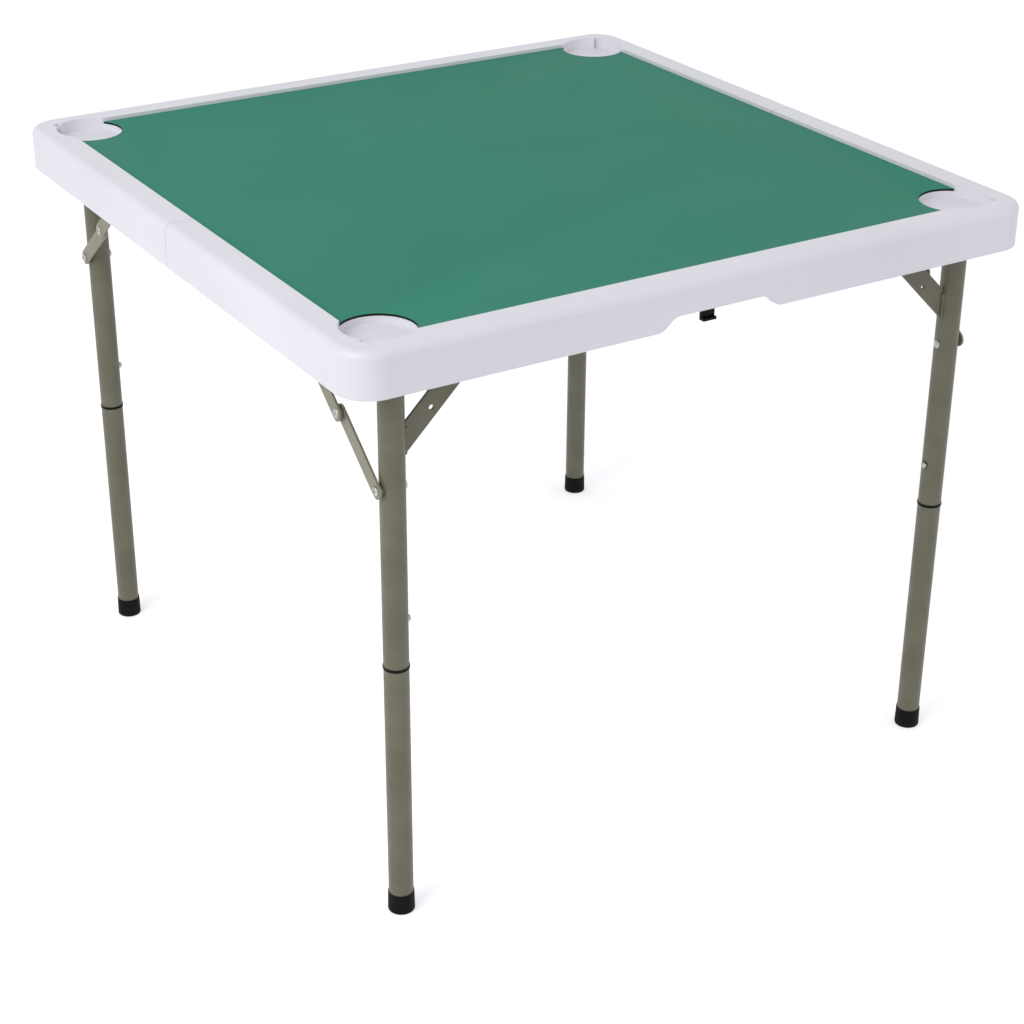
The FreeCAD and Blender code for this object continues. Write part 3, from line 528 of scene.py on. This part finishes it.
def deckScrews(end, way):
    bm = bmesh.new()
    places = screw["places"] + ([screw["handlePlace"]] if end == "front" else [])
    for x, y, plate in places:
        profile = [(0, -screw["depth"], 0), (screw["shank"], -screw["depth"], 0), (screw["shank"], plate, 0)]
        profile += crown(plate, plate + screw["rise"], screw["head"])
        for side in hands:
            down = Matrix.Translation(Vector((side * x, way * y, screw["deckUnder"])) * mm)
            turned(bm, profile, down @ Matrix.Rotation(math.pi, 4, "X"))
    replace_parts(finishPiece(end + "DeckScrews", bm, "zinc_steel", end + "_half"), end + "_screws")


for end, way in ends:
    braceBolts(end, way)
    kneeRivets(end)
    deckScrews(end, way)
print("rivets, bolts and screws turned")


# weld beads where the gussets and the crossbar meet the legs

weld = {"legX": 372.5, "legY": 392.0, "legRadius": 14.0, "barRadius": 12.5, "barZ": 670.0, "low": 566.0,
        "high": 597.0, "offPlate": 2.4, "gussetBead": 2.1, "barBead": 1.6, "ripple": 0.14,
        "rippleTurn": 2.1, "sunk": 0.3, "stepMm": 1.5, "barSteps": 48, "sectionSteps": 10}


def rippled(count, radius):
    # bead thickness that swells and shrinks like laid weld drops
    swell = [1 + weld["ripple"] * math.sin(weld["rippleTurn"] * i) for i in range(count)]
    return [(radius * mm * share,) * 2 for share in swell]


def weldBeads(end, way):
    w = weld
    bm = bmesh.new()
    for side in hands:
        count = int((w["high"] - w["low"]) / w["stepMm"]) + 1
        for off in hands:
            x = side * (w["legX"] - w["legRadius"] - w["sunk"])
            y = way * w["legY"] + off * w["offPlate"]
            path = [Vector((x, y, w["low"] + i * w["stepMm"])) * mm for i in range(count)]
            swept(bm, path, rippled(count, w["gussetBead"]), w["sectionSteps"], flat=Vector((0, 1, 0)))
        path = []
        for i in range(w["barSteps"]):
            a = 2 * math.pi * i / w["barSteps"]
            y = w["barRadius"] * math.sin(a)
            path.append(Vector((side * (w["legX"] - math.sqrt(w["legRadius"] ** 2 - y ** 2)),
                                way * w["legY"] + y, w["barZ"] + w["barRadius"] * math.cos(a))) * mm)
        swept(bm, path, rippled(w["barSteps"], w["barBead"]), w["sectionSteps"], closed=True,
              flat=Vector((1, 0, 0)))
    finishPiece(end + "WeldBeads", bm, "painted_steel", end + "_leg_frame")


for end, way in ends:
    weldBeads(end, way)
print("weld beads laid")


# studio: pale floor, soft key low from the left, even white surroundings

studio = {
    "floor": "#f6f6f7", "floorLift": 0.42, "floorGapMm": 0.2, "floorHalf": 14.0, "floorCells": 8,
    "surround": 0.66, "surroundTint": "#fafaff",
    "key": {"place": (-3.2, -1.0, 2.8), "watts": 58.0, "size": 2.4, "aim": (0, 0, 0.6)},
    "fill": {"place": (2.4, -3.2, 1.6), "watts": 8.0, "size": 2.0, "aim": (0, 0, 0.5)},
}


def softLamp(name):
    setting = studio[name]
    lamp = bpy.data.lights.new(name, "AREA")
    lamp.energy = setting["watts"]
    lamp.shape = "DISK"
    lamp.size = setting["size"]
    made = bpy.data.objects.new(name, lamp)
    scene.collection.objects.link(made)
    made.location = setting["place"]
    toAim = Vector(setting["aim"]) - Vector(setting["place"])
    made.rotation_euler = toAim.to_track_quat("-Z", "Y").to_euler()


def seenDirectly(tree):
    # 1 for rays from the camera and for what shows in reflections or through glass
    path = addNode(tree, "ShaderNodeLightPath")
    shiny = addNode(tree, "ShaderNodeMath", {"operation": "MAXIMUM"},
                    [(0, path, "Is Glossy Ray"), (1, path, "Is Transmission Ray")])
    return addNode(tree, "ShaderNodeMath", {"operation": "MAXIMUM"},
                   [(0, path, "Is Camera Ray"), (1, shiny, "Value")])


def paleFloor():
    bm = bmesh.new()
    bmesh.ops.create_grid(bm, x_segments=studio["floorCells"], y_segments=studio["floorCells"],
                          size=studio["floorHalf"])
    mesh = bpy.data.meshes.new("floor")
    bm.to_mesh(mesh)
    bm.free()
    made = bpy.data.objects.new("floor", mesh)
    made.location.z = -studio["floorGapMm"] * mm
    scene.collection.objects.link(made)
    material = bpy.data.materials.new("matt painted board, white")
    material.use_nodes = True
    tree = material.node_tree
    tree.nodes.clear()
    lit = addNode(tree, "ShaderNodeBsdfDiffuse", {"Color": linear(studio["floor"])})
    share = addNode(tree, "ShaderNodeMath", {"operation": "MULTIPLY"}, [(0, seenDirectly(tree), "Value")])
    share.inputs[1].default_value = studio["floorLift"]
    lift = addNode(tree, "ShaderNodeEmission", {"Color": (1, 1, 1, 1)}, [("Strength", share, "Value")])
    both = addNode(tree, "ShaderNodeAddShader", links=[(0, lit, "BSDF"), (1, lift, "Emission")])
    # seen from below the floor is clear, so that the underside shows
    side = addNode(tree, "ShaderNodeNewGeometry")
    clear = addNode(tree, "ShaderNodeBsdfTransparent")
    oneSided = addNode(tree, "ShaderNodeMixShader", links=[("Fac", side, "Backfacing"), (1, both, "Shader"),
                                                           (2, clear, "BSDF")])
    addNode(tree, "ShaderNodeOutputMaterial", links=[("Surface", oneSided, "Shader")])
    mesh.materials.append(material)


def whiteSurround():
    world = bpy.data.worlds.new("white surround")
    scene.world = world
    world.use_nodes = True
    tree = world.node_tree
    tree.nodes.clear()
    soft = addNode(tree, "ShaderNodeBackground", {"Color": linear(studio["surroundTint"]),
                                                  "Strength": studio["surround"]})
    plain = addNode(tree, "ShaderNodeBackground", {"Color": (1, 1, 1, 1), "Strength": 1.0})
    mix = addNode(tree, "ShaderNodeMixShader", links=[("Fac", seenDirectly(tree), "Value"),
                                                      (1, soft, "Background"), (2, plain, "Background")])
    addNode(tree, "ShaderNodeOutputWorld", links=[("Surface", mix, "Shader")])


paleFloor()
whiteSurround()
softLamp("key")
softLamp("fill")


# camera at the photograph's angle, the picture taken as 1024 by 1024

view = {"place": (-1.3139, -2.1397, 1.5215), "yaw": 0.5556, "pitch": -0.4747, "roll": 0.0063,
        "lensMm": 76.4, "sensorMm": 36.0}


def photoCamera():
    yaw, pitch, roll = view["yaw"], view["pitch"], view["roll"]
    forward = Vector((math.sin(yaw) * math.cos(pitch), math.cos(yaw) * math.cos(pitch), math.sin(pitch)))
    level = Vector((math.cos(yaw), -math.sin(yaw), 0))
    upright = level.cross(forward)
    right = level * math.cos(roll) + upright * math.sin(roll)
    up = upright * math.cos(roll) - level * math.sin(roll)
    lens = bpy.data.cameras.new("photo camera")
    lens.lens = view["lensMm"]
    lens.sensor_width = view["sensorMm"]
    made = bpy.data.objects.new("photo camera", lens)
    scene.collection.objects.link(made)
    made.matrix_world = Matrix((right, up, -forward)).transposed().to_4x4()
    made.location = view["place"]
    scene.camera = made


photoCamera()
print("studio and camera set")
